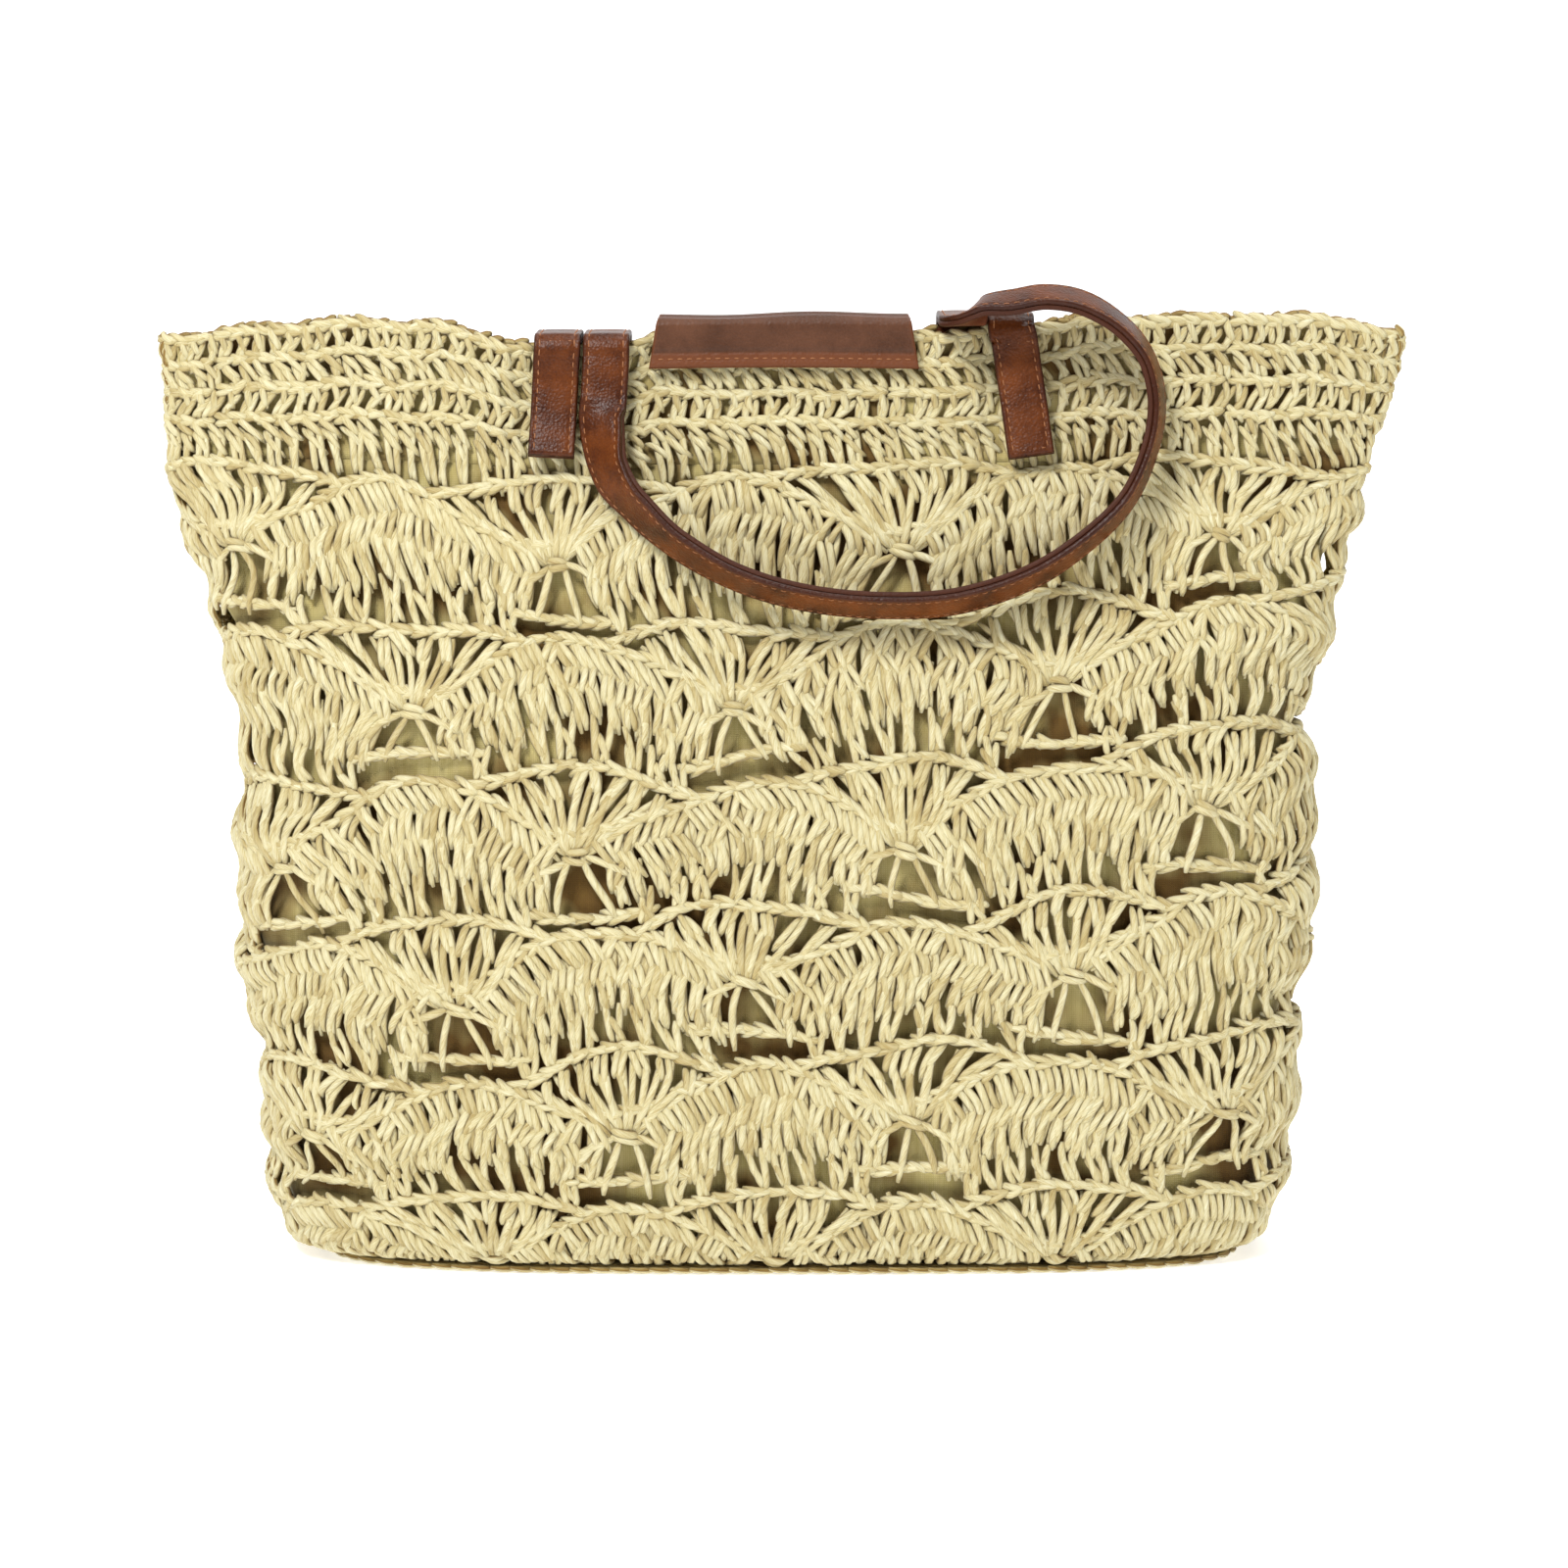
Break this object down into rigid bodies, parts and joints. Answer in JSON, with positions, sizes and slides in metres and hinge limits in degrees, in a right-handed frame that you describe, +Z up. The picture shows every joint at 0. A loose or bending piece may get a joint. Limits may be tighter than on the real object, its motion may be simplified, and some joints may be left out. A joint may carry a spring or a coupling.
{
  "type": "beach bag",
  "caption": "Crocheted straw tote with a woven lining, leather strap handles that flop over the rim, and a leather magnetic closure.",
  "frame": {"origin": "on the surface the bag stands on, under the middle of its base", "axes": "+Z up, -Y towards the front (the side that the back handle's loop lies on), +X to the right seen from the front"},
  "size_m": [0.4338, 0.1256, 0.3489],
  "materials": {
    "straw": "twisted paper yarn, matte with a faint sheen",
    "lining": "plain woven cotton, matte",
    "leather": "smooth grain, waxed, semi-gloss",
    "leather_backing": "smooth, matte",
    "thread": "waxed polyester thread",
    "snap_metal": "brushed antique brass"
  },
  "bodies": {
    "bag": {"back_left_tab_backing": "leather_backing", "back_left_tab_leather": "leather", "back_left_tab_thread": "thread", "back_right_tab_backing": "leather_backing", "back_right_tab_leather": "leather", "back_right_tab_thread": "thread", "crochet_base": "straw", "crochet_body": "straw", "crochet_rim_left": "straw", "crochet_rim_right": "straw", "front_left_tab_backing": "leather_backing", "front_left_tab_leather": "leather", "front_left_tab_thread": "thread", "front_right_tab_backing": "leather_backing", "front_right_tab_leather": "leather", "front_right_tab_thread": "thread", "lining_base": "lining", "lining_body": "lining", "lining_rim_left": "lining", "lining_rim_right": "lining"},
    "front_closure": {"crochet_flap_front": "straw", "front_magnet": "snap_metal", "front_patch": "leather", "front_patch_thread": "thread", "front_washer": "snap_metal", "lining_flap_front": "lining"},
    "back_closure": {"back_magnet": "snap_metal", "back_patch": "leather", "back_patch_thread": "thread", "back_washer": "snap_metal", "crochet_flap_back": "straw", "lining_flap_back": "lining"},
    "front_bridge": {"front_bridge_backing": "leather_backing", "front_bridge_leather": "leather", "front_bridge_thread": "thread"},
    "front_loop": {"front_loop_backing": "leather_backing", "front_loop_leather": "leather", "front_loop_thread": "thread"},
    "back_bridge": {"back_bridge_backing": "leather_backing", "back_bridge_leather": "leather", "back_bridge_thread": "thread"},
    "back_loop": {"back_loop_backing": "leather_backing", "back_loop_leather": "leather", "back_loop_thread": "thread"}
  },
  "joints": [
    {"name": "front_closure_open", "type": "hinge", "parent": "bag", "child": "front_closure", "pos_m": [0, -0.02169, 0.286], "axis": [1, 0, 0], "range_deg": [0, 12]},
    {"name": "back_closure_open", "type": "hinge", "parent": "bag", "child": "back_closure", "pos_m": [0, 0.02169, 0.286], "axis": [-1, 0, 0], "range_deg": [0, 12]},
    {"name": "front_handle_lift", "type": "hinge", "parent": "bag", "child": "front_bridge", "pos_m": [0, -0.0145, 0.3346], "axis": [1, 0, 0], "range_deg": [0, 90]},
    {"name": "front_handle_unfold", "type": "hinge", "parent": "front_bridge", "child": "front_loop", "pos_m": [0, 0.0145, 0.3346], "axis": [1, 0, 0], "range_deg": [0, 75]},
    {"name": "back_handle_lift", "type": "hinge", "parent": "bag", "child": "back_bridge", "pos_m": [0, 0.0145, 0.3346], "axis": [-1, 0, 0], "range_deg": [0, 90]},
    {"name": "back_handle_unfold", "type": "hinge", "parent": "back_bridge", "child": "back_loop", "pos_m": [0, -0.0145, 0.3346], "axis": [-1, 0, 0], "range_deg": [0, 75]}
  ],
  "couplings": [
    {"joint": "front_handle_unfold", "follows": "front_handle_lift", "ratio": 0.8332},
    {"joint": "back_handle_unfold", "follows": "back_handle_lift", "ratio": 0.8332}
  ]
}
